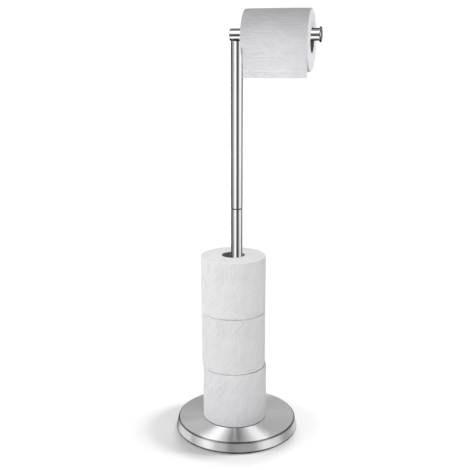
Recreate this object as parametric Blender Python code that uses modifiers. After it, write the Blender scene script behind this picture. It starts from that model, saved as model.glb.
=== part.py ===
# Freestanding toilet paper holder: a weighted round base, a post in two screwed tubes, a level arm
# with a roll hanging on it, and three spare rolls standing around the post.
#
# Metres, +Z up. The origin is the centre of the pad's underside, on the post's axis.
# The arm runs along +X and the front of the holder faces -Y.
#
# Every round piece is a profile turned about its own axis by a Screw modifier. Pieces that touch
# in the real holder are modelled one seat_gap apart.

from math import atan2
from math import cos
from math import pi
from math import radians
from math import sin

import bmesh
import bpy
from mathutils import Vector

# Clearances shared by all pieces
seat_gap = 0.0003
cut_overrun = 0.004

# Tubes of the post and the arm
tube_diameter = 0.019
tube_wall = 0.001
tube_facets = 40

# Base
base_foot_radius = 0.1055
base_rim_flare = 0.0035
base_height = 0.020
cover_thickness = 0.001
cover_edge_rounding = 0.002
cover_hem_radius = 0.002
cover_foot_lift = 0.001
pad_thickness = 0.002
pad_side_gap = 0.001
weight_edge_chamfer = 0.0015
weight_recess_depth = 0.0065
weight_hub_wall = 0.009
weight_ring_width = 0.014
weight_pocket_gap = 0.003
weight_side_gap = 0.001
base_facets = 64
edge_arc_steps = 4
hem_arc_steps = 4

# Bolt that clamps the base to the post
bolt_diameter = 0.008
bolt_head_flats = 0.013
bolt_head_height = 0.0053
bolt_grip_in_insert = 0.017
bolt_hole_gap = 0.0006
washer_diameter = 0.016
washer_thickness = 0.0016
lock_washer_diameter = 0.0148
lock_washer_thickness = 0.002
lock_washer_split_width = 0.0012
lock_washer_split_angle = radians(25)
fastener_facets = 24

# Threaded joint halfway up the post
seam_height = 0.391
seam_washer_thickness = 0.001
seam_washer_inset = 0.0006
stud_diameter = 0.010
stud_engagement = 0.012
stud_run_out = 0.006
stud_upper_length = 0.018
stud_chamfer = 0.001
insert_floor = 0.004

# Arm and the saddle that carries it
arm_axis_height = 0.670
arm_left_reach = 0.0085
saddle_reveal = 0.001
arm_stud_diameter = 0.008
arm_stud_depth = 0.018
arm_stud_rise = 0.003
arm_plug_land = 0.005
arm_plug_head_thickness = 0.0015
arm_plug_head_rounding = 0.0008
end_disc_lip = 0.0025
end_disc_rim_thickness = 0.0022
end_disc_dome_height = 0.0014
end_disc_spigot_length = 0.012
end_disc_spigot_chamfer = 0.001
dome_steps = 4

# Cardboard cores and paper rolls
core_bore_diameter = 0.037
core_wall = 0.001
paper_rim_rounding = 0.003
roll_facets = 48
rim_arc_steps = 3

hanging_roll_diameter = 0.0965
hanging_roll_width = 0.103
hanging_roll_post_play = 0.0068
hanging_roll_end_play = 0.0117

spare_roll_diameter = 0.110
spare_roll_height = 0.097

# How far each spare roll stands off the post's axis, as shares of the play of its core on the post
bottom_roll_side_share = -0.37
middle_roll_side_share = -0.60
top_roll_side_share = -0.66
spare_roll_front_share = -0.15

# Loose end of paper in front of the hanging roll
sheet_thickness = 0.0005
sheet_roll_gap = 0.0005
sheet_drop = 0.056
sheet_lap_angle = radians(75)
sheet_wave_height = 0.0016
sheet_wave_count = 1.6
sheet_wave_phase = radians(35)
sheet_curl_height = 0.004
sheet_curl_width_share = 0.16
sheet_curl_length_share = 0.22
sheet_width_steps = 24
sheet_lap_steps = 9
sheet_drop_steps = 10

# Sizes that follow from the ones above
base_shoulder_radius = base_foot_radius - base_rim_flare
tube_radius = tube_diameter / 2
tube_bore_radius = tube_radius - tube_wall
insert_radius = tube_bore_radius - seat_gap
bolt_radius = bolt_diameter / 2
stud_radius = stud_diameter / 2
arm_stud_radius = arm_stud_diameter / 2
weight_pocket_radius = washer_diameter / 2 + weight_pocket_gap
weight_hub_radius = weight_pocket_radius + weight_hub_wall
end_disc_radius = tube_radius + end_disc_lip
core_bore_radius = core_bore_diameter / 2
core_radius = core_bore_radius + core_wall
paper_bore_radius = core_radius + seat_gap
core_play = core_bore_radius - tube_radius - seat_gap
hanging_roll_radius = hanging_roll_diameter / 2
spare_roll_radius = spare_roll_diameter / 2

post_foot_height = base_height + seat_gap
washer_seat_height = seam_height + seat_gap
upper_tube_foot_height = washer_seat_height + seam_washer_thickness + seat_gap
upper_tube_top_height = arm_axis_height - tube_radius - saddle_reveal
hanging_roll_axis_height = arm_axis_height - core_play
hanging_roll_start = tube_radius + hanging_roll_post_play
hanging_roll_centre = hanging_roll_start + hanging_roll_width / 2
arm_right_reach = hanging_roll_start + hanging_roll_width + hanging_roll_end_play

sharp_edge_angle = radians(30)
merge_limit = 0.00001

# Finishes: colour, roughness and metallic share of each material
steel_finish = ((0.62, 0.62, 0.63, 1.0), 0.28, 1.0)
zinc_finish = ((0.55, 0.56, 0.58, 1.0), 0.40, 1.0)
iron_finish = ((0.09, 0.09, 0.09, 1.0), 0.70, 0.8)
rubber_finish = ((0.03, 0.03, 0.03, 1.0), 0.85, 0.0)
nylon_finish = ((0.05, 0.05, 0.055, 1.0), 0.55, 0.0)
paper_finish = ((0.90, 0.90, 0.92, 1.0), 0.95, 0.0)
card_finish = ((0.50, 0.43, 0.34, 1.0), 0.90, 0.0)


# Scene, collections, materials and joint empties

def clear_scene():
    for old in list(bpy.data.objects):
        bpy.data.objects.remove(old, do_unlink=True)


def new_collection(name):
    collection = bpy.data.collections.new(name)
    bpy.context.scene.collection.children.link(collection)
    return collection


def give_material(piece, finish):
    colour, roughness, metallic = finish
    material = bpy.data.materials.new(piece.name + "_material")
    material.use_nodes = True
    shader = material.node_tree.nodes["Principled BSDF"]
    shader.inputs["Base Color"].default_value = colour
    shader.inputs["Roughness"].default_value = roughness
    shader.inputs["Metallic"].default_value = metallic
    piece.data.materials.append(material)


def add_empty(name, location, parent=None):
    empty = bpy.data.objects.new(name, None)
    parts.objects.link(empty)
    empty.location = location
    if parent:
        carry(empty, parent)
    return empty


def world_place(thing):
    place = thing.matrix_parent_inverse @ thing.matrix_basis
    if thing.parent:
        place = world_place(thing.parent) @ place
    return place


def carry(piece, carrier):
    piece.parent = carrier
    piece.matrix_parent_inverse = world_place(carrier).inverted()


# Modelling helpers

def arc(centre_radius, centre_height, radius, start, end, steps):
    points = []
    for step in range(steps + 1):
        angle = start + (end - start) * step / steps
        point_radius = centre_radius + radius * cos(angle)
        point_height = centre_height + radius * sin(angle)
        points.append((point_radius, point_height))
    return points


def turned(name, profile, facets, location=(0, 0, 0), along_x=False, closed=True):
    """Turn a profile of (radius, height) points, listed down its outer side, about the local Z axis."""
    mesh = bpy.data.meshes.new(name)
    vertices = [(radius, 0, height) for radius, height in profile]
    edges = [(index, index + 1) for index in range(len(profile) - 1)]
    if closed:
        edges.append((len(profile) - 1, 0))
    mesh.from_pydata(vertices, edges, [])
    piece = bpy.data.objects.new(name, mesh)
    parts.objects.link(piece)
    piece.location = location
    if along_x:
        piece.rotation_euler = (0, pi / 2, 0)
    screw = piece.modifiers.new("turn", "SCREW")
    screw.steps = facets
    screw.render_steps = facets
    screw.use_merge_vertices = True
    screw.merge_threshold = merge_limit
    return piece


def solid_turned(name, profile, facets, location=(0, 0, 0), along_x=False):
    """A turned piece whose profile starts and ends on its axis."""
    return turned(name, profile, facets, location, along_x, closed=False)


def ring_profile(outer_radius, inner_radius, top, bottom):
    return [(outer_radius, top), (outer_radius, bottom), (inner_radius, bottom), (inner_radius, top)]


def bar_profile(radius, top, bottom, chamfer=0):
    if not chamfer:
        return [(0, top), (radius, top), (radius, bottom), (0, bottom)]
    profile = [(0, top), (radius - chamfer, top), (radius, top - chamfer)]
    profile += [(radius, bottom + chamfer), (radius - chamfer, bottom), (0, bottom)]
    return profile


def blind_bore_profile(radius, bore_radius, top, bottom, bore_depth, bore_from_top):
    """A bar with a blind bore in its top or its bottom face."""
    if bore_from_top:
        floor = top - bore_depth
        return [(0, floor), (bore_radius, floor), (bore_radius, top), (radius, top), (radius, bottom), (0, bottom)]
    ceiling = bottom + bore_depth
    return [(0, top), (radius, top), (radius, bottom), (bore_radius, bottom), (bore_radius, ceiling), (0, ceiling)]


def as_cutter(piece):
    parts.objects.unlink(piece)
    cutters.objects.link(piece)
    piece.hide_render = True
    piece.display_type = "WIRE"
    return piece


def combine(piece, tool, operation):
    change = piece.modifiers.new(operation.lower() + "_" + tool.name, "BOOLEAN")
    change.operation = operation
    change.solver = "EXACT"
    change.object = tool


def finish(piece, surface, carrier):
    """Apply the modifiers, shade the round faces smooth, and hand the piece to its carrier."""
    evaluated = piece.evaluated_get(bpy.context.evaluated_depsgraph_get())
    mesh = bpy.data.meshes.new_from_object(evaluated)
    mesh.name = piece.name
    piece.modifiers.clear()
    piece.data = mesh
    mesh.shade_smooth()
    mesh.set_sharp_from_angle(angle=sharp_edge_angle)
    mesh.materials.clear()
    give_material(piece, surface)
    carry(piece, carrier)
    return piece


# Base

def make_base_cover(carrier):
    """Stamped steel shell: flat plate, rounded shoulder, sloping rim and a hem rolled under it."""
    rim_rise = base_height - cover_edge_rounding - cover_foot_lift - cover_hem_radius
    slope = atan2(base_rim_flare, rim_rise)
    plate_hole_radius = bolt_radius + bolt_hole_gap
    shoulder_centre = base_shoulder_radius - cover_edge_rounding
    hem_centre = base_foot_radius - cover_hem_radius
    profile = [(plate_hole_radius, base_height)]
    profile += arc(shoulder_centre, base_height - cover_edge_rounding, cover_edge_rounding,
                   pi / 2, slope, edge_arc_steps)
    profile += arc(hem_centre, cover_foot_lift + cover_hem_radius, cover_hem_radius,
                   slope, -pi / 2, hem_arc_steps)
    cover = turned("base_cover", profile, base_facets, closed=False)
    shell = cover.modifiers.new("sheet", "SOLIDIFY")
    shell.thickness = cover_thickness
    shell.offset = -1
    shell.use_even_offset = True
    return finish(cover, steel_finish, carrier)


def make_base_weight(carrier):
    """Cast disc: an outer ring and a hub joined by a web, with a pocket for the bolt's head."""
    top = base_height - cover_thickness - seat_gap
    bottom = pad_thickness + seat_gap
    radius = base_shoulder_radius - cover_thickness - cover_edge_rounding - weight_side_gap
    web_underside = bottom + weight_recess_depth
    hole_radius = bolt_radius + bolt_hole_gap
    pocket_ceiling = washer_top_height() + seat_gap
    profile = [(hole_radius, top)]
    profile += [(radius - weight_edge_chamfer, top), (radius, top - weight_edge_chamfer), (radius, bottom)]
    profile += [(radius - weight_ring_width, bottom), (radius - weight_ring_width, web_underside)]
    profile += [(weight_hub_radius, web_underside), (weight_hub_radius, bottom)]
    profile += [(weight_pocket_radius, bottom), (weight_pocket_radius, pocket_ceiling)]
    profile += [(hole_radius, pocket_ceiling)]
    return finish(turned("base_weight", profile, base_facets), iron_finish, carrier)


def make_base_pad(carrier):
    """Non-slip disc stuck under the weight; it stands a little proud of the cover's hem."""
    radius = base_foot_radius - cover_hem_radius - pad_side_gap
    pad = solid_turned("base_pad", bar_profile(radius, pad_thickness, 0), base_facets)
    return finish(pad, rubber_finish, carrier)


def bolt_head_bottom_height():
    return pad_thickness + seat_gap


def lock_washer_bottom_height():
    return bolt_head_bottom_height() + bolt_head_height + seat_gap


def washer_bottom_height():
    return lock_washer_bottom_height() + lock_washer_thickness + seat_gap


def washer_top_height():
    return washer_bottom_height() + washer_thickness


def make_base_bolt(carrier):
    """Hexagon bolt: a six-sided head joined to a chamfered shank."""
    head_bottom = bolt_head_bottom_height()
    head_top = head_bottom + bolt_head_height
    corner_radius = bolt_head_flats / 2 / cos(pi / 6)
    head = solid_turned("base_bolt", bar_profile(corner_radius, head_top, head_bottom), 6)
    shank_top = post_foot_height + bolt_grip_in_insert
    shank_bottom = head_top - bolt_head_height / 2
    shank_profile = [(0, shank_top), (bolt_radius - stud_chamfer, shank_top)]
    shank_profile += [(bolt_radius, shank_top - stud_chamfer), (bolt_radius, shank_bottom), (0, shank_bottom)]
    shank = as_cutter(solid_turned("bolt_shank_tool", shank_profile, fastener_facets))
    combine(head, shank, "UNION")
    return finish(head, zinc_finish, carrier)


def make_base_washers(carrier):
    hole_radius = bolt_radius + bolt_hole_gap
    flat_profile = ring_profile(washer_diameter / 2, hole_radius, washer_top_height(), washer_bottom_height())
    finish(turned("base_washer", flat_profile, fastener_facets), zinc_finish, carrier)

    bottom = lock_washer_bottom_height()
    lock_profile = ring_profile(lock_washer_diameter / 2, hole_radius, bottom + lock_washer_thickness, bottom)
    lock_washer = turned("base_lock_washer", lock_profile, fastener_facets)
    middle = bottom + lock_washer_thickness / 2
    split = slot_tool("lock_washer_split_tool", lock_washer_diameter / 2, middle)
    combine(lock_washer, split, "DIFFERENCE")
    finish(lock_washer, zinc_finish, carrier)


def slot_tool(name, reach, height):
    """A leaning blade that splits the lock washer on its +X side."""
    mesh = bpy.data.meshes.new(name)
    shape = bmesh.new()
    bmesh.ops.create_cube(shape, size=1)
    size = Vector((reach, lock_washer_split_width, lock_washer_thickness + cut_overrun))
    bmesh.ops.scale(shape, vec=size, verts=shape.verts)
    shape.to_mesh(mesh)
    shape.free()
    tool = bpy.data.objects.new(name, mesh)
    parts.objects.link(tool)
    tool.location = (reach, 0, height)
    tool.rotation_euler = (lock_washer_split_angle, 0, 0)
    return as_cutter(tool)


# Post

def make_lower_post(carrier):
    tube_profile = ring_profile(tube_radius, tube_bore_radius, seam_height, post_foot_height)
    finish(turned("lower_tube", tube_profile, tube_facets), steel_finish, carrier)

    foot_bore_depth = bolt_grip_in_insert + seat_gap
    foot_top = post_foot_height + foot_bore_depth + insert_floor
    foot_profile = blind_bore_profile(insert_radius, bolt_radius + seat_gap, foot_top, post_foot_height,
                                      foot_bore_depth, bore_from_top=False)
    finish(solid_turned("lower_tube_bottom_insert", foot_profile, fastener_facets), zinc_finish, carrier)

    head_bore_depth = stud_engagement + stud_run_out
    head_bottom = seam_height - head_bore_depth - insert_floor
    head_profile = blind_bore_profile(insert_radius, stud_radius + seat_gap, seam_height, head_bottom,
                                      head_bore_depth, bore_from_top=True)
    finish(solid_turned("lower_tube_top_insert", head_profile, fastener_facets), zinc_finish, carrier)


def make_seam_washer(carrier):
    top = washer_seat_height + seam_washer_thickness
    profile = ring_profile(tube_radius - seam_washer_inset, stud_radius + seat_gap, top, washer_seat_height)
    return finish(turned("seam_washer", profile, tube_facets), nylon_finish, carrier)


def make_upper_post(carrier):
    tube_profile = ring_profile(tube_radius, tube_bore_radius, upper_tube_top_height, upper_tube_foot_height)
    finish(turned("upper_tube", tube_profile, tube_facets), steel_finish, carrier)

    bore_depth = stud_upper_length + seat_gap
    insert_top = upper_tube_foot_height + bore_depth + insert_floor
    insert_profile = blind_bore_profile(insert_radius, stud_radius + seat_gap, insert_top,
                                        upper_tube_foot_height, bore_depth, bore_from_top=False)
    finish(solid_turned("upper_tube_bottom_insert", insert_profile, fastener_facets), zinc_finish, carrier)

    stud_top = upper_tube_foot_height + stud_upper_length
    stud_bottom = seam_height - stud_engagement
    stud = solid_turned("joint_stud", bar_profile(stud_radius, stud_top, stud_bottom, stud_chamfer),
                        fastener_facets)
    finish(stud, zinc_finish, carrier)


# Arm

def arm_envelope_tool():
    """The arm's outside with a gap around it: what the saddle is cut to."""
    reach = insert_radius + cut_overrun
    profile = bar_profile(tube_radius + seat_gap, reach, -reach)
    tool = solid_turned("saddle_tool", profile, tube_facets, (0, 0, arm_axis_height), along_x=True)
    return as_cutter(tool)


def make_saddle_plug(carrier):
    """Bar fixed in the post's top. Its neck stands out and is coped to fit round the arm's underside."""
    bore_radius = arm_stud_radius + seat_gap
    bore_bottom = upper_tube_top_height - arm_stud_depth - seat_gap
    bottom = bore_bottom - insert_floor
    profile = [(bore_radius, arm_axis_height), (insert_radius, arm_axis_height), (insert_radius, bottom)]
    profile += [(0, bottom), (0, bore_bottom), (bore_radius, bore_bottom)]
    plug = turned("upper_tube_top_plug", profile, tube_facets)
    combine(plug, arm_envelope_tool(), "DIFFERENCE")
    return finish(plug, steel_finish, carrier)


def make_arm_stud(carrier):
    top = arm_axis_height + arm_stud_rise
    bottom = upper_tube_top_height - arm_stud_depth
    stud = solid_turned("arm_stud", bar_profile(arm_stud_radius, top, bottom, stud_chamfer), fastener_facets)
    return finish(stud, zinc_finish, carrier)


def make_arm_tube(carrier):
    profile = ring_profile(tube_radius, tube_bore_radius, arm_right_reach, -arm_left_reach)
    arm = turned("arm_tube", profile, tube_facets, (0, 0, arm_axis_height), along_x=True)
    hole_profile = bar_profile(arm_stud_radius + seat_gap, 0, -tube_radius - cut_overrun)
    hole = solid_turned("arm_hole_tool", hole_profile, fastener_facets, (0, 0, arm_axis_height))
    combine(arm, as_cutter(hole), "DIFFERENCE")
    return finish(arm, steel_finish, carrier)


def make_arm_left_plug(carrier):
    """Turned plug that closes the arm's left end and takes the stud in a threaded cross hole."""
    head_inner = -arm_left_reach - seat_gap
    head_outer = head_inner - arm_plug_head_thickness
    plug_end = arm_stud_radius + seat_gap + arm_plug_land
    profile = [(0, plug_end), (insert_radius, plug_end), (insert_radius, head_inner), (tube_radius, head_inner)]
    profile += arc(tube_radius - arm_plug_head_rounding, head_outer + arm_plug_head_rounding,
                   arm_plug_head_rounding, 0, -pi / 2, rim_arc_steps)
    profile += [(0, head_outer)]
    plug = solid_turned("arm_left_plug", profile, tube_facets, (0, 0, arm_axis_height), along_x=True)
    bore_top = arm_stud_rise + seat_gap
    bore_profile = bar_profile(arm_stud_radius + seat_gap, bore_top, -tube_radius - cut_overrun)
    bore = solid_turned("plug_bore_tool", bore_profile, fastener_facets, (0, 0, arm_axis_height))
    combine(plug, as_cutter(bore), "DIFFERENCE")
    return finish(plug, steel_finish, carrier)


def make_arm_end_disc(carrier):
    """Domed disc that keeps the roll on the arm, on a spigot pressed into the tube."""
    radius = end_disc_radius
    inner_face = arm_right_reach + seat_gap
    rim_face = inner_face + end_disc_rim_thickness
    profile = []
    for step in range(dome_steps + 1):
        share = step / dome_steps
        profile.append((radius * sin(share * pi / 2), rim_face + end_disc_dome_height * cos(share * pi / 2)))
    profile += [(radius, inner_face), (insert_radius, inner_face)]
    spigot_end = arm_right_reach - end_disc_spigot_length
    profile += [(insert_radius, spigot_end + end_disc_spigot_chamfer)]
    profile += [(insert_radius - end_disc_spigot_chamfer, spigot_end), (0, spigot_end)]
    disc = solid_turned("arm_end_disc", profile, tube_facets, (0, 0, arm_axis_height), along_x=True)
    return finish(disc, steel_finish, carrier)


# Paper

def paper_profile(radius, top, bottom):
    """Ring of wound paper with soft outer rims."""
    rounding = paper_rim_rounding
    profile = arc(radius - rounding, top - rounding, rounding, pi / 2, 0, rim_arc_steps)
    profile += arc(radius - rounding, bottom + rounding, rounding, 0, -pi / 2, rim_arc_steps)
    profile += [(paper_bore_radius, bottom), (paper_bore_radius, top)]
    return profile


def make_spare_roll(level, order, side_share, carrier):
    bottom = post_foot_height + order * (spare_roll_height + seat_gap)
    top = bottom + spare_roll_height
    place = (side_share * core_play, spare_roll_front_share * core_play, 0)
    paper = turned("spare_" + level + "_paper", paper_profile(spare_roll_radius, top, bottom), roll_facets, place)
    finish(paper, paper_finish, carrier)
    core_profile = ring_profile(core_radius, core_bore_radius, top, bottom)
    core = turned("spare_" + level + "_core", core_profile, tube_facets, place)
    finish(core, card_finish, carrier)


def make_hanging_roll(carrier):
    place = (hanging_roll_centre, 0, hanging_roll_axis_height)
    half_width = hanging_roll_width / 2
    profile = paper_profile(hanging_roll_radius, half_width, -half_width)
    paper = turned("hanging_roll_paper", profile, roll_facets, place, along_x=True)
    finish(paper, paper_finish, carrier)
    core_profile = ring_profile(core_radius, core_bore_radius, half_width, -half_width)
    core = turned("hanging_roll_core", core_profile, tube_facets, place, along_x=True)
    finish(core, card_finish, carrier)


def sheet_point(side_share, length, lap_length, radius):
    """Place on the loose sheet, from its share of the width and its length along the paper."""
    across = (side_share - 1 / 2) * hanging_roll_width
    if length < lap_length:
        angle = sheet_lap_angle - length / radius
        return Vector((across, -radius * cos(angle), radius * sin(angle)))
    drop = length - lap_length
    fall_share = drop / sheet_drop
    wave_angle = sheet_wave_phase + 2 * pi * sheet_wave_count * side_share
    wave = sheet_wave_height * sin(wave_angle) * fall_share ** 2
    corner_share = max(0, side_share - 1 + sheet_curl_width_share) / sheet_curl_width_share
    edge_share = max(0, fall_share - 1 + sheet_curl_length_share) / sheet_curl_length_share
    curl = sheet_curl_height * corner_share ** 2 * edge_share ** 2
    return Vector((across, -radius - sheet_wave_height * fall_share + wave - curl, -drop))


def make_hanging_sheet(carrier):
    """Loose end of the paper: it laps the front of the roll, then hangs in shallow waves."""
    radius = hanging_roll_radius + sheet_roll_gap + sheet_thickness / 2
    lap_length = sheet_lap_angle * radius
    mesh = bpy.data.meshes.new("hanging_sheet")
    shape = bmesh.new()
    long_steps = sheet_lap_steps + sheet_drop_steps
    bmesh.ops.create_grid(shape, x_segments=sheet_width_steps, y_segments=long_steps, size=1)
    for vertex in shape.verts:
        side_share = (vertex.co.x + 1) / 2
        long_step = (1 - vertex.co.y) / 2 * long_steps
        length = lap_length * min(long_step / sheet_lap_steps, 1)
        length += sheet_drop * max(long_step - sheet_lap_steps, 0) / sheet_drop_steps
        vertex.co = sheet_point(side_share, length, lap_length, radius)
    bmesh.ops.recalc_face_normals(shape, faces=shape.faces)
    shape.to_mesh(mesh)
    shape.free()
    sheet = bpy.data.objects.new("hanging_sheet", mesh)
    parts.objects.link(sheet)
    sheet.location = (hanging_roll_centre, 0, hanging_roll_axis_height)
    ply = sheet.modifiers.new("ply", "SOLIDIFY")
    ply.thickness = sheet_thickness
    ply.offset = 0
    return finish(sheet, paper_finish, carrier)


clear_scene()
parts = new_collection("toilet_paper_holder")
cutters = new_collection("cutters")

base_frame = add_empty("base_frame", (0, 0, 0))
seam_axis = add_empty("seam_axis", (0, 0, seam_height), base_frame)
post_turn_axis = add_empty("post_turn_axis", (0, 0, seam_height), seam_axis)
roll_place = (hanging_roll_centre, 0, hanging_roll_axis_height)
sheet_slide_axis = add_empty("sheet_slide_axis", roll_place, post_turn_axis)
roll_axis = add_empty("roll_axis", roll_place, sheet_slide_axis)
bottom_lift = add_empty("bottom_lift", (0, 0, post_foot_height), base_frame)
middle_lift = add_empty("middle_lift", (0, 0, post_foot_height), bottom_lift)
top_lift = add_empty("top_lift", (0, 0, post_foot_height), middle_lift)

make_base_pad(base_frame)
make_base_weight(base_frame)
make_base_cover(base_frame)
make_base_bolt(base_frame)
make_base_washers(base_frame)
make_lower_post(base_frame)
make_seam_washer(seam_axis)
make_upper_post(post_turn_axis)
make_saddle_plug(post_turn_axis)
make_arm_stud(post_turn_axis)
make_arm_tube(post_turn_axis)
make_arm_left_plug(post_turn_axis)
make_arm_end_disc(post_turn_axis)
make_hanging_sheet(sheet_slide_axis)
make_hanging_roll(roll_axis)
make_spare_roll("bottom", 0, bottom_roll_side_share, bottom_lift)
make_spare_roll("middle", 1, middle_roll_side_share, middle_lift)
make_spare_roll("top", 2, top_roll_side_share, top_lift)
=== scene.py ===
# %% [markdown]
# A freestanding toilet paper holder. A heavy round base of spun steel carries a post made of two tubes,
# which screw together a little over halfway up. A level arm on top holds the roll in use, and three spare
# rolls stand round the post.
#
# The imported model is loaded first. It is the fixed frame of the whole scene: every piece below is measured
# from the node that it stands for, so it can't drift away from what carries it.

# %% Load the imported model
import math

import bpy
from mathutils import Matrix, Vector


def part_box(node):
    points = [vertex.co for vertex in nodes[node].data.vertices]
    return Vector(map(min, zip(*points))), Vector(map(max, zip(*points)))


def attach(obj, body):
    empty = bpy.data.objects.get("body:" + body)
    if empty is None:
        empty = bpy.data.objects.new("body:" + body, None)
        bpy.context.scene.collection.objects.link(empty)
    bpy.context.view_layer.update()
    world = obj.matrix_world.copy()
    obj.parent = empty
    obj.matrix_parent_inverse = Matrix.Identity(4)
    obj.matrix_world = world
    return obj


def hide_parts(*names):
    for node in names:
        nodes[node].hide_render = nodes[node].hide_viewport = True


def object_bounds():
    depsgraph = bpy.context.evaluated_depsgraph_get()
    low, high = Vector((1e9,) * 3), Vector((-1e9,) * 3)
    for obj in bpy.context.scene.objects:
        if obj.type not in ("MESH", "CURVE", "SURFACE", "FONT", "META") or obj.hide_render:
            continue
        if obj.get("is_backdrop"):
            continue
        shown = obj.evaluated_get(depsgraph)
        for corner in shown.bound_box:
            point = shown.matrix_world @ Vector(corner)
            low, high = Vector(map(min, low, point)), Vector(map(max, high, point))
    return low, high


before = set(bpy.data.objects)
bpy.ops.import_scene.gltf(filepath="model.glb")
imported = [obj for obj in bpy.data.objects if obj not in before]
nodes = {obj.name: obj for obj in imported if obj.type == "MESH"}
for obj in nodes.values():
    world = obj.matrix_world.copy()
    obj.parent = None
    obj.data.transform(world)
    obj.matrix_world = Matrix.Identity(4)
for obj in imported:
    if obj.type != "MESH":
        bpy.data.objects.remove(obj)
cad_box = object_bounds()
print("packed model:", len(nodes), "nodes, from", list(cad_box[0]), "to", list(cad_box[1]))

# %% [markdown]
# The photographer stands in front of the holder, turned a little towards the arm's free end, with the
# camera about as high as the arm and tilted down so that the base fits in the frame. The distance matters
# as much as the angle: it sets how round the base looks and how much of each roll's end shows. Both were
# found by fitting the outlines of the rolls, the post and the base.

# %% Place the camera
camera_turn = math.radians(14.0)
camera_tilt = math.radians(13.68)
camera_distance = 1.2385
camera_side_step = -0.003
camera_height = 0.6476
camera_lens = 58.41

camera_x = camera_side_step * math.cos(camera_turn) + camera_distance * math.sin(camera_turn)
camera_y = camera_side_step * math.sin(camera_turn) - camera_distance * math.cos(camera_turn)
bpy.ops.object.camera_add(location=(camera_x, camera_y, camera_height),
                          rotation=(math.pi / 2 - camera_tilt, 0, camera_turn))
camera = bpy.context.object
camera.name = "camera"
camera.data.sensor_width = 36
camera.data.lens = camera_lens
bpy.context.scene.camera = camera
print("camera at", [round(value, 4) for value in camera.location])

# %% [markdown]
# Every step of the modelling works on one piece at a time. Blender's operators act on all that is selected,
# so the bench is cleared before a piece is picked up, and the faces, edges or points to work on are chosen
# by their place, as a hand would choose them on the screen.

# %% Helpers for working on one piece at a time
def put_down():
    if bpy.context.mode != "OBJECT":
        bpy.ops.object.mode_set(mode="OBJECT")
    bpy.ops.object.select_all(action="DESELECT")


def pick_up(piece):
    put_down()
    bpy.context.view_layer.objects.active = piece
    piece.select_set(True)


def choose(piece, kind, wanted):
    """Opens the piece for editing with only the wanted points, edges or faces selected."""
    pick_up(piece)
    bpy.ops.object.mode_set(mode="EDIT")
    bpy.ops.mesh.select_mode(type=kind)
    bpy.ops.mesh.select_all(action="DESELECT")
    bpy.ops.object.mode_set(mode="OBJECT")
    mesh = piece.data
    if kind == "VERT":
        for point in mesh.vertices:
            point.select = wanted(point.co)
    elif kind == "EDGE":
        for edge in mesh.edges:
            ends = [mesh.vertices[index].co for index in edge.vertices]
            edge.select = all(wanted(end) for end in ends)
    else:
        for face in mesh.polygons:
            face.select = wanted(face.center)
    bpy.ops.object.mode_set(mode="EDIT")


def apply_modifier(piece, kind, **settings):
    pick_up(piece)
    bpy.ops.object.modifier_add(type=kind)
    modifier = piece.modifiers[-1]
    for name, value in settings.items():
        setattr(modifier, name, value)
    bpy.ops.object.modifier_apply(modifier=modifier.name)


def put_away(piece, name, body, material, *stands_for, smooth_angle=40, soft=False):
    """Names a finished piece, sets its place in its mesh, and hands it to the body that it moves with.

    On a hard piece the large faces keep their own shading, and only the small rounded edges blend. A soft
    one is paper or card, which satin steel doesn't mirror."""
    pick_up(piece)
    bpy.ops.object.transform_apply(location=True, rotation=True, scale=True)
    bpy.ops.object.shade_smooth_by_angle(angle=math.radians(smooth_angle))
    if soft:
        piece.visible_glossy = False
        only["stored_paper" if body.startswith("spare") else "hung_paper"].objects.link(piece)
    else:
        apply_modifier(piece, "WEIGHTED_NORMAL", keep_sharp=True)
    piece.name = name
    piece.data.name = name
    piece.data.materials.clear()
    piece.data.materials.append(material)
    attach(piece, body)
    if stands_for:
        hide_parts(*stands_for)
    put_down()
    print(name, "has", len(piece.data.polygons), "faces")
    return piece

# %% [markdown]
# A small object is photographed on a sheet of white card that is lit until it burns out to white, with a
# soft shadow left round the foot. The floor is a plain pale disc, and it lies a hair under the pad so that
# the two surfaces don't fight. Mirror rays pass through it, because the card would otherwise flood the
# underside of every tube with white.

# %% Lay the floor
floor_radius = 4.0
floor_sides = 96
floor_gap = 0.0002
card_grey = (0.60, 0.60, 0.603, 1)


def new_material(name):
    material = bpy.data.materials.new(name)
    material.use_nodes = True
    return material, material.node_tree, material.node_tree.nodes["Principled BSDF"]


def add_node(tree, kind, **values):
    node = tree.nodes.new(kind)
    for name, value in values.items():
        if hasattr(node, name):
            setattr(node, name, value)
        else:
            node.inputs[name.replace("_", " ").title()].default_value = value
    return node


floor_paint, _, floor_shader = new_material("white_card")
floor_shader.inputs["Base Color"].default_value = card_grey
floor_shader.inputs["Roughness"].default_value = 0.85
floor_shader.inputs["Specular IOR Level"].default_value = 0

put_down()
bpy.ops.mesh.primitive_circle_add(vertices=floor_sides, radius=floor_radius, fill_type="NGON",
                                  location=(0, 0, -floor_gap))
floor = bpy.context.object
floor.name = "floor"
floor.data.materials.append(floor_paint)
floor.visible_glossy = False
floor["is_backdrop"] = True
print("floor radius", floor_radius)

# %% [markdown]
# A finish is a small net of nodes, and the same few knots come back in all of them. A helper ties each knot
# once: it gives a socket its value, whether that is a number or another node's socket.

# %% Helpers for tying nodes together
def feed(tree, socket, value):
    if isinstance(value, bpy.types.NodeSocket):
        tree.links.new(value, socket)
    else:
        socket.default_value = value


def math_node(tree, operation, *values):
    node = add_node(tree, "ShaderNodeMath", operation=operation)
    for socket, value in zip(node.inputs, values):
        feed(tree, socket, value)
    return node.outputs[0]


def length_node(tree, first, second):
    """The distance that two steps at a right angle make, such as a radius from x and y."""
    squares = [math_node(tree, "MULTIPLY", value, value) for value in (first, second)]
    return math_node(tree, "SQRT", math_node(tree, "ADD", *squares))


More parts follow.
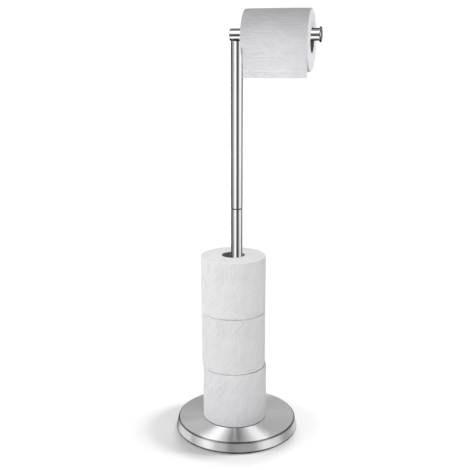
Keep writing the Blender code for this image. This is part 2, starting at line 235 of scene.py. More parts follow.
def map_range(tree, value, from_low, from_high, to_low=0, to_high=1, curve="LINEAR"):
    node = add_node(tree, "ShaderNodeMapRange", interpolation_type=curve)
    for name, number in (("Value", value), ("From Min", from_low), ("From Max", from_high),
                         ("To Min", to_low), ("To Max", to_high)):
        feed(tree, node.inputs[name], number)
    return node.outputs[0]


def blend_colours(tree, share, first, second):
    """Mixes two colours. Each is three numbers or another node's socket."""
    node = add_node(tree, "ShaderNodeMix", data_type="RGBA")
    feed(tree, node.inputs["Factor"], share)
    for socket, colour in ((node.inputs["A"], first), (node.inputs["B"], second)):
        feed(tree, socket, colour if isinstance(colour, bpy.types.NodeSocket) else (*colour, 1))
    return node.outputs["Result"]


def split_xyz(tree, place):
    node = add_node(tree, "ShaderNodeSeparateXYZ")
    tree.links.new(place, node.inputs[0])
    return node.outputs


print("node helpers ready")

# %% [markdown]
# Polished metal has hardly any colour of its own: it shows the studio. The stripes down the post are tall
# soft panels of light with dark gaps between them, and a stripe's place on the tube says where its panel
# stands. The panels could be built as objects. They are painted on the world instead, with ramps that are
# quick to move. One ramp runs round the holder for the low panels, a second takes over higher up, and both
# are multiplied by a ramp that climbs from the floor to the ceiling. Three soft patches are added: a ceiling
# on the left, one on the right, and a glow below the left panel. They were set for the front of the
# holder, so from behind the tubes come out dark.
#
# Paper is matt, so it needs something simpler: a plain dome, brighter near the floor than overhead and
# brighter on the left than on the right. Mirror rays see the panels, all other rays see the dome, and the
# camera itself sees plain white.

# %% Paint the studio round the holder
sky_brightness = 1.4
backdrop_brightness = 1.05

studio = bpy.data.worlds.new("studio")
bpy.context.scene.world = studio
studio.use_nodes = True
sky = studio.node_tree
sky.nodes.clear()


def sky_maths(operation, *values):
    return math_node(sky, operation, *values)


def sky_ramp(degrees, limit, stops):
    """A grey ramp from (degrees, brightness) pairs, over angles that run to the limit both ways."""
    node = add_node(sky, "ShaderNodeValToRGB")
    sky.links.new(map_range(sky, degrees, -limit, limit), node.inputs[0])
    ramp = node.color_ramp
    ramp.interpolation = "EASE"
    while len(ramp.elements) > 1:
        ramp.elements.remove(ramp.elements[-1])
    for number, (place, grey) in enumerate(stops):
        share = (place + limit) / (2 * limit)
        element = ramp.elements[0] if number == 0 else ramp.elements.new(share)
        element.position = share
        element.color = (grey, grey, grey, 1)
    return node.outputs["Color"]


def sky_patch(round_stops, up_stops):
    return sky_maths("MULTIPLY", sky_ramp(around, 180, round_stops), sky_ramp(upward, 90, up_stops))


look = add_node(sky, "ShaderNodeTexCoord")
look_x, look_y, look_z = split_xyz(sky, look.outputs["Generated"])
bearing = sky_maths("ARCTAN2", look_x, sky_maths("MULTIPLY", look_y, -1))
turned = sky_maths("WRAP", sky_maths("SUBTRACT", bearing, camera_turn), math.pi, -math.pi)
around = sky_maths("DEGREES", turned)
upward = sky_maths("DEGREES", sky_maths("ARCSINE", look_z))

low_round = sky_ramp(around, 180, [
    (-180, 0.03), (-108, 0.03), (-94, 0.28), (-78, 0.44), (-60, 0.46), (-50, 0.10), (24, 0.09),
    (36, 0.26), (50, 0.80), (62, 0.95), (90, 0.90), (104, 0.45), (118, 0.03), (180, 0.03)])
high_round = sky_ramp(around, 180, [(-180, 0.03), (-84, 0.03), (-70, 0.90), (-24, 0.90), (-12, 0.03),
                                    (180, 0.03)])
climb = sky_ramp(upward, 90, [(-90, 0.03), (-20, 0.06), (-14.5, 0.85), (-6, 1.0), (14, 1.0), (36, 1.4),
                              (56, 1.4), (66, 0), (90, 0)])
panels = blend_colours(sky, sky_ramp(upward, 90, [(4, 0), (26, 1)]), low_round, high_round)
left_ceiling = sky_patch([(-168, 0), (-150, 1), (-40, 1), (-10, 0)], [(52, 0), (62, 0.30), (90, 0.30)])
glow_below = sky_patch([(-72, 0), (-60, 1), (-24, 1), (-14, 0)], [(-80, 0), (-70, 1), (-40, 1), (-24, 0)])
right_ceiling = sky_patch([(-4, 0), (24, 1), (136, 1), (156, 0)], [(62, 0), (74, 0.45), (90, 0.45)])
overhead = sky_maths("ADD", left_ceiling, right_ceiling)
mirrored_sky = sky_maths("ADD", sky_maths("MULTIPLY", panels, climb), sky_maths("ADD", glow_below, overhead))
dome = sky_patch([(-180, 0.78), (-80, 1.06), (-20, 1.02), (50, 0.66), (120, 0.64), (180, 0.78)],
                 [(-90, 0.66), (-50, 0.74), (-16, 0.87), (6, 0.76), (25, 0.49), (50, 0.33), (90, 0.18)])
ray_kind = add_node(sky, "ShaderNodeLightPath")
studio_light = add_node(sky, "ShaderNodeBackground", strength=sky_brightness)
lit_sky = blend_colours(sky, ray_kind.outputs["Is Glossy Ray"], dome, mirrored_sky)
sky.links.new(lit_sky, studio_light.inputs["Color"])
plain_white = add_node(sky, "ShaderNodeBackground", strength=backdrop_brightness)
plain_white.inputs["Color"].default_value = (1, 1, 1, 1)
seen = add_node(sky, "ShaderNodeMixShader")
for socket, value in zip(seen.inputs, (ray_kind.outputs["Is Camera Ray"], studio_light.outputs[0],
                                       plain_white.outputs[0])):
    sky.links.new(value, socket)
world_out = add_node(sky, "ShaderNodeOutputWorld")
sky.links.new(seen.outputs[0], world_out.inputs["Surface"])
bpy.context.scene.view_settings.view_transform = "Standard"
print("studio painted with", len(sky.nodes), "nodes")

# %% [markdown]
# The card has to burn out to white, the steel needs highlights and the paper soft shading. One set of lights
# can't do all three at once, so each light shines on one group of pieces alone, which Blender calls light
# linking. Four wide lights burn out the card, and only the base stands in their way, so what they leave is
# the soft shadow round the foot. The post, the arm and the end disc each have faint lights that they mirror.
# On the base, two fan lights high behind the holder make the two bright fans that a turned disc shows, two
# glows light the plate beside them, and the others light the plate's back, the shoulder and the rim. The last
# ones light the end of the hanging roll, the top of the stack and the loose sheet.

# %% Hang the lamps
lamp_distance = 2


def add_light(name, bearing, height, strength, softness, lit, in_the_way, mirrored):
    """A light that is far away: its bearing is counted from the camera, and it lights one group alone."""
    put_down()
    angle, climb = camera_turn + math.radians(bearing), math.radians(height)
    source = Vector((math.sin(angle) * math.cos(climb), -math.cos(angle) * math.cos(climb), math.sin(climb)))
    bpy.ops.object.light_add(type="SUN", location=source * lamp_distance)
    lamp = bpy.context.object
    lamp.name = name
    lamp.data.energy = strength
    lamp.data.angle = math.radians(softness)
    lamp.rotation_euler = (-source).to_track_quat("-Z", "Y").to_euler()
    lamp.visible_glossy = mirrored
    lamp.light_linking.receiver_collection = only[lit]
    if in_the_way:
        lamp.light_linking.blocker_collection = only[in_the_way]
    return lamp


only = {group: bpy.data.collections.new(f"only_{group}")
        for group in ("floor", "base", "hung_paper", "stored_paper", "post", "arm", "disc")}
only["floor"].objects.link(floor)

# Which group is lit, what casts its shadow, whether steel mirrors the lamp, and then each lamp's name,
# bearing, height, strength and softness
lamp_groups = [
    ("floor", "base", False, [("card_light_right", 99, 10, 10.9, 30), ("card_light_left", -82, 12, 3.6, 34),
                              ("card_light_back", 174, 20, 3.7, 34), ("card_light_front", 15, 16, 1.3, 42)]),
    ("post", None, True, [("post_light", -31, -7, 0.54, 42), ("post_light_back", 178, -7, 0.42, 26)]),
    ("arm", None, True, [("arm_light_back", 150, 24, 0.60, 44)]),
    ("disc", None, True, [("disc_light", 158, 0, 0.08, 36)]),
    ("base", "base", True, [("fan_light_left", -155, 60, 0.19, 18), ("fan_light_right", 157, 60, 0.21, 18),
                            ("fan_glow_left", -148, 44, 0.34, 36), ("fan_glow_right", 150, 44, 0.28, 36),
                            ("plate_light_left", -165, 20, 0.095, 22),
                            ("plate_light_right", 165, 20, 0.108, 22),
                            ("shoulder_light_left", -66, 52, 0.50, 22),
                            ("shoulder_light_right", 66, 52, 0.54, 22),
                            ("rim_light_left", -116, -8, 0.70, 54), ("rim_light_right", 138, -24, 0.50, 46),
                            ("rim_light_front_left", -66, -4, 0.44, 48), ("rim_light_front", 14, 0, 0.46, 58),
                            ("rim_light_front_right", 62, -8, 0.36, 50)]),
    ("hung_paper", "hung_paper", False, [("paper_light_right", 96, 10, 1.5, 40)]),
    ("stored_paper", "stored_paper", False, [("paper_light_above", -50, 76, 2.2, 50)])]
lamps = [add_light(*settings, lit, in_the_way, mirrored)
         for lit, in_the_way, mirrored, group in lamp_groups for settings in group]

spot_target, spot_place = Vector((0.068, -0.049, 0.598)), Vector((0.31, -1.02, 0.50))
put_down()
bpy.ops.object.light_add(type="SPOT", location=spot_place,
                         rotation=(spot_target - spot_place).to_track_quat("-Z", "Y").to_euler())
soft_spot = bpy.context.object
soft_spot.name = "paper_spot"
soft_spot.data.energy = 14
soft_spot.data.spot_size = math.radians(9.5)
soft_spot.data.spot_blend = 1
soft_spot.data.shadow_soft_size = 0.05
soft_spot.visible_glossy = False
soft_spot.light_linking.receiver_collection = only["hung_paper"]
lamps.append(soft_spot)
print("lamps:", [lamp.name for lamp in lamps])

# %% [markdown]
# The metal is satin stainless steel. Each piece was finished while it turned, so its scratches run round
# it: on a tube they are hoops, and on the base they are circles. One shader group draws these scratches
# for every turned piece. It squeezes noise along the direction across the scratches, which is the height
# on a tube and the radius on a plate, so the sum of the two serves both. It has to be a group because
# the base, the post and the arm all use it with their own centre.

# %% Build the scratch group
scratch_squeeze = (60, 60, 5200)


def new_group(name, numbers_in, numbers_out):
    """A shader group that takes a place and some numbers, and gives numbers back."""
    group = bpy.data.node_groups.new(name, "ShaderNodeTree")
    group.interface.new_socket("Vector", in_out="INPUT", socket_type="NodeSocketVector")
    for direction, labels in (("INPUT", numbers_in), ("OUTPUT", numbers_out)):
        for label in labels:
            group.interface.new_socket(label, in_out=direction, socket_type="NodeSocketFloat")
    return group, group.nodes.new("NodeGroupInput"), group.nodes.new("NodeGroupOutput")


def join_xyz(tree, *values):
    node = add_node(tree, "ShaderNodeCombineXYZ")
    for socket, value in zip(node.inputs, values):
        feed(tree, socket, value)
    return node.outputs[0]


def add_noise(tree, place, squeeze=None, **settings):
    """Noise at a place. It is squeezed by its own number along X, Y and Z, or has one scale all round."""
    if squeeze:
        press = add_node(tree, "ShaderNodeVectorMath", operation="MULTIPLY")
        press.inputs[1].default_value = squeeze
        tree.links.new(place, press.inputs[0])
        place, settings["scale"] = press.outputs[0], 1.0
    noise = add_node(tree, "ShaderNodeTexNoise", **settings)
    tree.links.new(place, noise.inputs["Vector"])
    return noise.outputs["Fac"]


turned_grain, grain_in, grain_out = new_group("turned_grain", [], ["Scratches", "Haze", "Radius", "Reach"])
grain_place = grain_in.outputs["Vector"]
grain_x, grain_y, grain_z = split_xyz(turned_grain, grain_place)
grain_radius = length_node(turned_grain, grain_x, grain_y)
hoops = join_xyz(turned_grain, grain_x, grain_y, math_node(turned_grain, "ADD", grain_radius, grain_z))
scratches = add_noise(turned_grain, hoops, scratch_squeeze, detail=3.0, roughness=0.6)
haze = add_noise(turned_grain, grain_place, scale=22.0, detail=4.0, roughness=0.55)
for value, socket in zip((scratches, haze, grain_radius, grain_z), grain_out.inputs):
    turned_grain.links.new(value, socket)
print("scratch group has", len(turned_grain.nodes), "nodes")

# %% [markdown]
# The steel itself is a bare metal with a soft, stretched gloss. Stretching is what tells brushed metal from
# plain satin metal: each scratch spreads the light across itself, so a highlight grows along the tube and
# fans out over the base. The direction is given by a tangent that runs round the piece's own axis.
#
# The base has three marks more. A fine dark line of painted shade follows the shoulder, and another follows
# the foot: a painted contact shadow where the rim nears the card. A spun plate is also crowned very slightly,
# so light from behind fans over its front and leaves its back grey. The imported plate is flat, so the crown
# is left to the shading: a bump whose height falls with the radius leans the plate's normals outwards.

# %% Mix the steels
shoulder_shade_share = 0.24
foot_shade = 0.16
scratch_strength = 0.12
scratch_depth = 0.00005


def scale_to(tree, value, low, high, spread=0.2):
    """Maps a noise, which keeps within its spread from 0.5, on to low to high."""
    return map_range(tree, value, 0.5 - spread, 0.5 + spread, low, high)


def centred_coordinates(tree, centre=(0, 0, 0), turn=(0, 0, 0)):
    """Object coordinates moved to a piece's own centre, with its axis turned on to Z."""
    place = add_node(tree, "ShaderNodeTexCoord").outputs["Object"]
    for setting, value in (("Location", tuple(-number for number in centre)), ("Rotation", turn)):
        step = add_node(tree, "ShaderNodeMapping", vector_type="POINT")
        step.inputs[setting].default_value = value
        tree.links.new(place, step.inputs["Vector"])
        place = step.outputs[0]
    return place


def darken(tree, colour, distance, near, far, share):
    """Darkens a colour to a share of itself where a distance is below near. Past far it is left alone."""
    shaded = add_node(tree, "ShaderNodeVectorMath", operation="SCALE")
    tree.links.new(colour, shaded.inputs[0])
    tree.links.new(map_range(tree, distance, near, far, share, 1, "SMOOTHSTEP"), shaded.inputs["Scale"])
    return shaded.outputs[0]


def bump_normal(tree, height, strength, distance, under=None):
    """The normal of a bumpy surface, which may lie on another bump."""
    bump = add_node(tree, "ShaderNodeBump", strength=strength, distance=distance)
    tree.links.new(height, bump.inputs["Height"])
    if under is not None:
        tree.links.new(under, bump.inputs["Normal"])
    return bump.outputs[0]


def mix_steel(name, axis, centre=(0, 0, 0), rough=(0.11, 0.16), stretch=0.5, grey=(0.72, 0.77),
              shoulder_shade_line=None, foot=None, crown=None):
    """Turned steel. Painted shade lines: the shoulder's is a radius and a width, the foot's a height. A crown
    is the lean of the normals.
    """
    material, tree, shader = new_material(name)
    turn = (0, -math.pi / 2, 0) if axis == "X" else (0, 0, 0)
    grain = add_node(tree, "ShaderNodeGroup", node_tree=turned_grain)
    tree.links.new(centred_coordinates(tree, centre, turn), grain.inputs[0])
    dark, light = ((tone, tone, tone * 1.01) for tone in grey)
    colour = blend_colours(tree, scale_to(tree, grain.outputs["Scratches"], 0, 1), dark, light)
    # A thin ring of painted shade on the shoulder's rounding. The mesh has no groove there.
    if shoulder_shade_line:
        past_shoulder_line = math_node(tree, "SUBTRACT", grain.outputs["Radius"], shoulder_shade_line[0])
        off_shoulder_line = math_node(tree, "ABSOLUTE", past_shoulder_line)
        colour = darken(tree, colour, off_shoulder_line, shoulder_shade_line[1] * 0.5, shoulder_shade_line[1], shoulder_shade_share)
    # A painted contact shadow: the rim gets darker towards its bottom edge, below the foot height.
    if foot:
        colour = darken(tree, colour, grain.outputs["Reach"], foot * 0.75, foot, foot_shade)
    tree.links.new(colour, shader.inputs["Base Color"])
    mixed = math_node(tree, "ADD", math_node(tree, "MULTIPLY", grain.outputs["Scratches"], 0.5),
                      math_node(tree, "MULTIPLY", grain.outputs["Haze"], 0.5))
    tree.links.new(scale_to(tree, mixed, *rough), shader.inputs["Roughness"])
    lean = None
    if crown:
        fall = math_node(tree, "MULTIPLY", grain.outputs["Radius"], -math.tan(crown))
        lean = bump_normal(tree, fall, 1.0, 1.0)
    tree.links.new(bump_normal(tree, grain.outputs["Scratches"], scratch_strength, scratch_depth, lean),
                   shader.inputs["Normal"])
    tangent = add_node(tree, "ShaderNodeTangent", direction_type="RADIAL", axis=axis)
    tree.links.new(tangent.outputs[0], shader.inputs["Tangent"])
    shader.inputs["Metallic"].default_value = 1
    shader.inputs["Anisotropic"].default_value = stretch
    shader.inputs["Anisotropic Rotation"].default_value = 0.25
    return material


arm_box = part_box("arm_tube")
arm_height = (arm_box[0].z + arm_box[1].z) / 2
# The base's shoulder line and foot line are painted shade, not marks in the steel.
base_steel = mix_steel("base_steel", "Z", rough=(0.32, 0.37), stretch=1.0, grey=(0.70, 0.78),
                       shoulder_shade_line=(0.1014, 0.0014), foot=0.0045, crown=math.radians(8))
post_steel = mix_steel("post_steel", "Z")
arm_steel = mix_steel("arm_steel", "X", centre=(0, 0, arm_height))
print("steels mixed; the arm's axis is at", round(arm_height, 4))

# %% [markdown]
# The base is one disc of sheet steel, spun over a former on a lathe: a flat plate, a rounded shoulder, a rim
# that slopes outwards, and an edge rolled under so that it can't cut. A spun part is a half outline swept
# round an axis, so the outline is drawn point by point by extruding and then spun. The corners are rounded
# afterwards with the bevel tool, which keeps the outline short and easy to change.

# %% A helper that spins an outline
def spin_outline(outline, steps, along="Z", height=0.0, closed=True):
    """Draws (radius, reach) points by extruding, then spins them round the post (Z) or the arm (X)."""
    def place(radius, reach):
        return Vector((reach, 0, height + radius)) if along == "X" else Vector((radius, 0, reach))

    put_down()
    here = place(*outline[0])
    bpy.ops.mesh.primitive_plane_add(size=0.001, location=here)
    piece = bpy.context.object
    bpy.ops.object.transform_apply(location=True, rotation=True, scale=True)
    bpy.ops.object.mode_set(mode="EDIT")
    bpy.ops.mesh.select_mode(type="VERT")
    bpy.ops.mesh.select_all(action="SELECT")
    bpy.ops.mesh.merge(type="CENTER")
    for radius, reach in outline[1:]:
        there = place(radius, reach)
        bpy.ops.mesh.extrude_vertices_move(TRANSFORM_OT_translate={"value": there - here})
        here = there
    if closed:
        bpy.ops.object.mode_set(mode="OBJECT")
        points = piece.data.vertices
        for point in points:
            point.select = point.index in (0, len(points) - 1)
        bpy.ops.object.mode_set(mode="EDIT")
        bpy.ops.mesh.edge_face_add()
    bpy.ops.mesh.select_all(action="SELECT")
    axis = (1, 0, 0) if along == "X" else (0, 0, 1)
    bpy.ops.mesh.spin(steps=steps, angle=2 * math.pi, center=(0, 0, height), axis=axis, use_auto_merge=True)
    bpy.ops.mesh.select_all(action="SELECT")
    bpy.ops.mesh.remove_doubles(threshold=0.000005)
    bpy.ops.mesh.normals_make_consistent(inside=False)
    bpy.ops.object.mode_set(mode="OBJECT")
    return piece


def round_rings(piece, rings, along="Z", height=0.0):
    """Rounds whole rings of a spun piece, each given as radius, reach, rounding and number of segments."""
    for radius, reach, rounding, segments in rings:
        def on_ring(point):
            away = math.hypot(point.y, point.z - height) if along == "X" else math.hypot(point.x, point.y)
            far = point.x if along == "X" else point.z
            return abs(away - radius) < 0.00005 and abs(far - reach) < 0.00005

        choose(piece, "EDGE", on_ring)
        bpy.ops.mesh.bevel(offset=rounding, offset_type="OFFSET", segments=segments, affect="EDGES")
        bpy.ops.object.mode_set(mode="OBJECT")


# %% [markdown]
# The outline runs from the bolt's hole out over the plate, down the rim, round the rolled hem and back along
# the inside, one sheet's thickness away. The shoulder and the foot get their soft rounding from the bevel.

# %% Spin the base
base_steps = 256
bolt_hole = 0.0046
rim_flare = 0.0035
hem_radius = 0.002
sheet_metal = 0.001
hem_corner_in, hem_corner_up = 0.0006, 0.0005
hem_inside = 0.0011
shoulder_rounding = 0.0022
foot_rounding = 0.0012

base_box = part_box("base_cover")
base_top = base_box[1].z
foot_radius = base_box[1].x
hem_bottom = base_box[0].z
shoulder_radius = foot_radius - rim_flare
hem_middle = hem_bottom + hem_radius

base_outline = [(bolt_hole, base_top), (shoulder_radius, base_top), (foot_radius, hem_middle),
                (foot_radius - hem_corner_in, hem_bottom + hem_corner_up),
                (foot_radius - hem_radius, hem_bottom), (foot_radius - hem_radius, hem_bottom + sheet_metal),
                (foot_radius - hem_inside, hem_middle),
                (shoulder_radius - sheet_metal, base_top - sheet_metal), (bolt_hole, base_top - sheet_metal)]
base_cover = spin_outline(base_outline, base_steps)
round_rings(base_cover, [(shoulder_radius, base_top, shoulder_rounding, 8),
                         (foot_radius, hem_middle, foot_rounding, 4)])
put_away(base_cover, "cover_shell", "base", base_steel, "base_cover")
only["base"].objects.link(base_cover)

# %% [markdown]
# The post is a plain tube, cut square and lightly deburred. Its two lengths meet on a thin black ring, which
# the photograph shows as a dark line. A cylinder with no ends gets a wall from the Solidify modifier, which
# is how a tube is drawn when its wall is the same all round, and the Bevel modifier breaks the cut edges. The
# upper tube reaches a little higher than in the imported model, so that less of a gap shows under the arm.

# %% Make the tubes and the ring between them
turned_steps = 128
tube_wall = 0.001
tube_break = 0.00025
upper_tube_extra = 0.0007
ring_bore = 0.0053
ring_rounding = 0.0002
ring_steps = 96


def make_tube(node, body, material, along="Z", longer=0.0):
    low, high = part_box(node)
    high = high + Vector((0, 0, longer))
    turn = (0, math.pi / 2, 0) if along == "X" else (0, 0, 0)
    length = (high - low).x if along == "X" else (high - low).z
    put_down()
    bpy.ops.mesh.primitive_cylinder_add(vertices=turned_steps, radius=(high - low).y / 2, depth=length,
                                        end_fill_type="NOTHING", location=(low + high) / 2, rotation=turn)
    tube = bpy.context.object
    apply_modifier(tube, "SOLIDIFY", thickness=tube_wall, offset=-1, use_even_offset=True)
    apply_modifier(tube, "BEVEL", width=tube_break, segments=3, limit_method="ANGLE",
                   angle_limit=math.radians(60))
    return put_away(tube, node.replace("tube", "pipe"), body, material, node)


only["post"].objects.link(make_tube("lower_tube", "base", post_steel))
only["post"].objects.link(make_tube("upper_tube", "upper_post", post_steel, longer=upper_tube_extra))
only["arm"].objects.link(make_tube("arm_tube", "upper_post", arm_steel, along="X"))

nylon, nylon_tree, nylon_shader = new_material("black_nylon")
nylon_grain = add_noise(nylon_tree, centred_coordinates(nylon_tree), scale=1500.0, detail=2.0)
nylon_tree.links.new(scale_to(nylon_tree, nylon_grain, 0.42, 0.6), nylon_shader.inputs["Roughness"])
nylon_shader.inputs["Base Color"].default_value = (0.012, 0.012, 0.014, 1)

ring_low, ring_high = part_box("seam_washer")
ring_radius = ring_high.x
ring_outline = [(ring_bore, ring_low.z), (ring_bore, ring_high.z), (ring_radius, ring_high.z),
                (ring_radius, ring_low.z)]
seam_ring = spin_outline(ring_outline, ring_steps)
round_rings(seam_ring, [(ring_radius, end, ring_rounding, 2) for end in (ring_high.z, ring_low.z)])
put_away(seam_ring, "seam_ring", "seam", nylon, "seam_washer")

# %% [markdown]
# The arm sits in a saddle on top of the post. The saddle is the neck of a plug: it is a little thinner than
# the tube, and its top was milled with a cutter of the arm's own size, which leaves the dark pointed arch
# that shows from the front. It is made as it would be in the workshop, with a round bar and a cutter laid
# across it, here with the Boolean modifier. Its material is a guess: black nylon, which would keep steel from
# rubbing on steel and gives the dark arch. The plug's flat collar faces up towards the light, so its upward
# faces get a pale copy of the nylon. This is painted light, because the nylon itself is black.

# %% Cut the saddle
plug_depth = 0.004
plug_sink = 0.0003
neck_radius = 0.0055
neck_root = 0.001
saddle_gap = 0.0001
cutter_reach = 0.02
collar_lip = 0.001
painted_light_colour = (0.62, 0.62, 0.63, 1)

plug_low, plug_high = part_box("upper_tube_top_plug")
post_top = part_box("upper_tube")[1].z
plug_radius = (plug_high - plug_low).x / 2
arm_radius = (arm_box[1].z - arm_box[0].z) / 2


def round_bar(radius, low, high, steps, turn=(0, 0, 0), middle=None):
    put_down()
    bpy.ops.mesh.primitive_cylinder_add(vertices=steps, radius=radius, depth=high - low,
                                        location=middle or (0, 0, (low + high) / 2), rotation=turn)
    return bpy.context.object


def cut(piece, cutter, operation="DIFFERENCE"):
    apply_modifier(piece, "BOOLEAN", operation=operation, object=cutter, solver="EXACT")
    bpy.data.objects.remove(cutter)


saddle = round_bar(plug_radius, post_top - plug_depth, post_top - plug_sink, turned_steps)
cut(saddle, round_bar(neck_radius, post_top - neck_root, arm_height, turned_steps), "UNION")
cut(saddle, round_bar(arm_radius + saddle_gap, -cutter_reach, cutter_reach, 160, turn=(0, math.pi / 2, 0),
                      middle=(0, 0, arm_height)))
apply_modifier(saddle, "BEVEL", width=0.00015, segments=2, limit_method="ANGLE", angle_limit=math.radians(35))
put_away(saddle, "saddle_neck", "upper_post", nylon, "upper_tube_top_plug")
nylon_painted_light = nylon.copy()
nylon_painted_light.name = "nylon_painted_light"
nylon_painted_light.node_tree.nodes["Principled BSDF"].inputs["Base Color"].default_value = painted_light_colour
saddle.data.materials.append(nylon_painted_light)
# The collar's upward faces get the pale copy of the black nylon: painted light.
for face in saddle.data.polygons:
    reach = max(math.hypot(*saddle.data.vertices[index].co.xy) for index in face.vertices)
    face.material_index = int(face.normal.z > 0.5 and reach > neck_radius + collar_lip)
print("gap under the arm", round(arm_height - arm_radius - post_top, 5),
      "pale faces", sum(face.material_index for face in saddle.data.polygons))

# %% [markdown]
# The arm is closed at the post by a plain turned plug, and at its free end by a domed disc that is wider than
# the tube, so that the roll can't slide off. Both are lathe work again.

# %% Turn the arm's plug and its end disc
end_fit = 0.00005
cap_rounding = 0.0005
dome_height = 0.0014
disc_rim_rounding = 0.0015

cap_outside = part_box("arm_left_plug")[0].x
cap_inner = arm_box[0].x - end_fit
cap_outline = [(0, cap_inner), (arm_radius, cap_inner), (arm_radius, cap_outside), (0, cap_outside)]
arm_cap = spin_outline(cap_outline, turned_steps, along="X", height=arm_height, closed=False)
round_rings(arm_cap, [(arm_radius, cap_outside, cap_rounding, 4)], along="X", height=arm_height)
only["arm"].objects.link(put_away(arm_cap, "arm_cap", "upper_post", arm_steel, "arm_left_plug"))

disc_low, disc_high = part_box("arm_end_disc")
disc_radius = (disc_high.z - disc_low.z) / 2
disc_inner = arm_box[1].x + end_fit
disc_rim = disc_high.x - dome_height
dome_outline = [(0, disc_inner), (disc_radius, disc_inner), (disc_radius, disc_rim)]
for share in (0.9, 0.75, 0.55, 0.35, 0.15, 0):
    dome_outline.append((disc_radius * share, disc_rim + dome_height * (1 - share ** 2)))
end_disc = spin_outline(dome_outline, turned_steps, along="X", height=arm_height, closed=False)
round_rings(end_disc, [(disc_radius, disc_inner, cap_rounding, 4),
                       (disc_radius, disc_rim, disc_rim_rounding, 8)], along="X", height=arm_height)
put_away(end_disc, "arm_disc", "upper_post", arm_steel, "arm_end_disc")
only["disc"].objects.link(end_disc)

# %% [markdown]
# Toilet tissue is soft, matt and slightly see-through, and it is never quite flat. Four things show on a
# roll: the fine crepe that runs across the paper, the faint pressed pattern that holds the plies together,
# soft folds and slanting wrinkles from the winding, and on the ends the edges of hundreds of layers. The
# group below draws all of them from one place on the roll, and a mask by radius keeps the layers to the ends.
# It also measures how far a place is off the lower rim, for the roll that stands on the base.

# %% Build the tissue group
pattern_pitch = 0.010
wrinkle_twist = -16
side_begins, side_ends = 0.004, 0.0015
rim_inset = 0.0010


def tissue_maths(operation, *values):
    return math_node(tissue, operation, *values)


def blend_numbers(share, first, second):
    node = add_node(tissue, "ShaderNodeMix", data_type="FLOAT")
    for socket, value in zip((node.inputs["Factor"], node.inputs[2], node.inputs[3]), (share, first, second)):
        tissue.links.new(value, socket)
    return node.outputs[0]


def weigh(value, weight):
    return tissue_maths("MULTIPLY", value, weight)


tissue, tissue_in, tissue_out = new_group("wound_tissue", ["Side Radius", "Repeats", "Low End", "Wrinkles"],
                                          ["Height", "Shade And Tone", "Off Rim"])
roll_place, roll_radius = tissue_in.outputs["Vector"], tissue_in.outputs["Side Radius"]
tissue_x, tissue_y, tissue_z = split_xyz(tissue, roll_place)
tissue_radius = length_node(tissue, tissue_x, tissue_y)
winding_phase = weigh(tissue_maths("ARCTAN2", tissue_y, tissue_x), tissue_in.outputs["Repeats"])
width_phase = weigh(tissue_z, 2 * math.pi / pattern_pitch)
dots = weigh(tissue_maths("SINE", tissue_maths("ADD", winding_phase, width_phase)),
             tissue_maths("SINE", tissue_maths("SUBTRACT", winding_phase, width_phase)))
pressed = tissue_maths("POWER", tissue_maths("MAXIMUM", dots, 0), 2)
crepe = add_noise(tissue, roll_place, (900, 900, 130), detail=3.0)
folds = add_noise(tissue, roll_place, (210, 210, 26), detail=3.0, distortion=1.2)
twist = add_node(tissue, "ShaderNodeVectorRotate", rotation_type="Z_AXIS")
tissue.links.new(roll_place, twist.inputs["Vector"])
tissue.links.new(weigh(tissue_z, wrinkle_twist), twist.inputs["Angle"])
wrinkles = add_noise(tissue, twist.outputs[0], (190, 190, 34), detail=2.0, distortion=0.8)
blotch = add_noise(tissue, roll_place, scale=55.0, detail=3.0)
layers = add_noise(tissue, join_xyz(tissue, tissue_x, tissue_y, tissue_radius), (45, 45, 1900), detail=2.0)
on_side = map_range(tissue, tissue_radius, tissue_maths("SUBTRACT", roll_radius, side_begins),
                    tissue_maths("SUBTRACT", roll_radius, side_ends), curve="SMOOTHSTEP")
fine_height = tissue_maths("ADD", weigh(crepe, 0.45), weigh(pressed, -0.30))
fold_height = tissue_maths("ADD", weigh(folds, 2.6), weigh(wrinkles, tissue_in.outputs["Wrinkles"]))
side_height = tissue_maths("ADD", tissue_maths("ADD", fine_height, fold_height), weigh(blotch, 0.8))
# On the side, the folds and wrinkles darken their hollows as painted shade, and blotches vary the tone at
# random.
fold_shade_and_tone = tissue_maths("ADD", weigh(folds, 0.35),
                         tissue_maths("ADD", weigh(wrinkles, 0.40), weigh(blotch, 0.25)))
from_side = tissue_maths("SUBTRACT", tissue_maths("SUBTRACT", roll_radius, rim_inset), tissue_radius)
from_end = tissue_maths("SUBTRACT", tissue_z, tissue_in.outputs["Low End"])
for value, socket in zip((blend_numbers(on_side, weigh(layers, 1.6), side_height),
                          blend_numbers(on_side, layers, fold_shade_and_tone),
                          length_node(tissue, from_side, from_end)), tissue_out.inputs):
    tissue.links.new(value, socket)
print("tissue group has", len(tissue.nodes), "nodes")

# %% [markdown]
# White paper is hardly ever pure white. The group mixes two near tones: random blotches shift them, and the
# hollows of the folds and wrinkles get the darker one, which is painted shade. The same heights lift the
# surface. A little sheen stands for the loose fibres. The roll that stands on the base gets a thin dark line
# of painted contact shadow where its lower rim meets the steel.

# %% Mix the tissue
contact_shadow_band = (0.0016, 0.0026)
contact_shade = 0.12
contact_lift = 0.0005


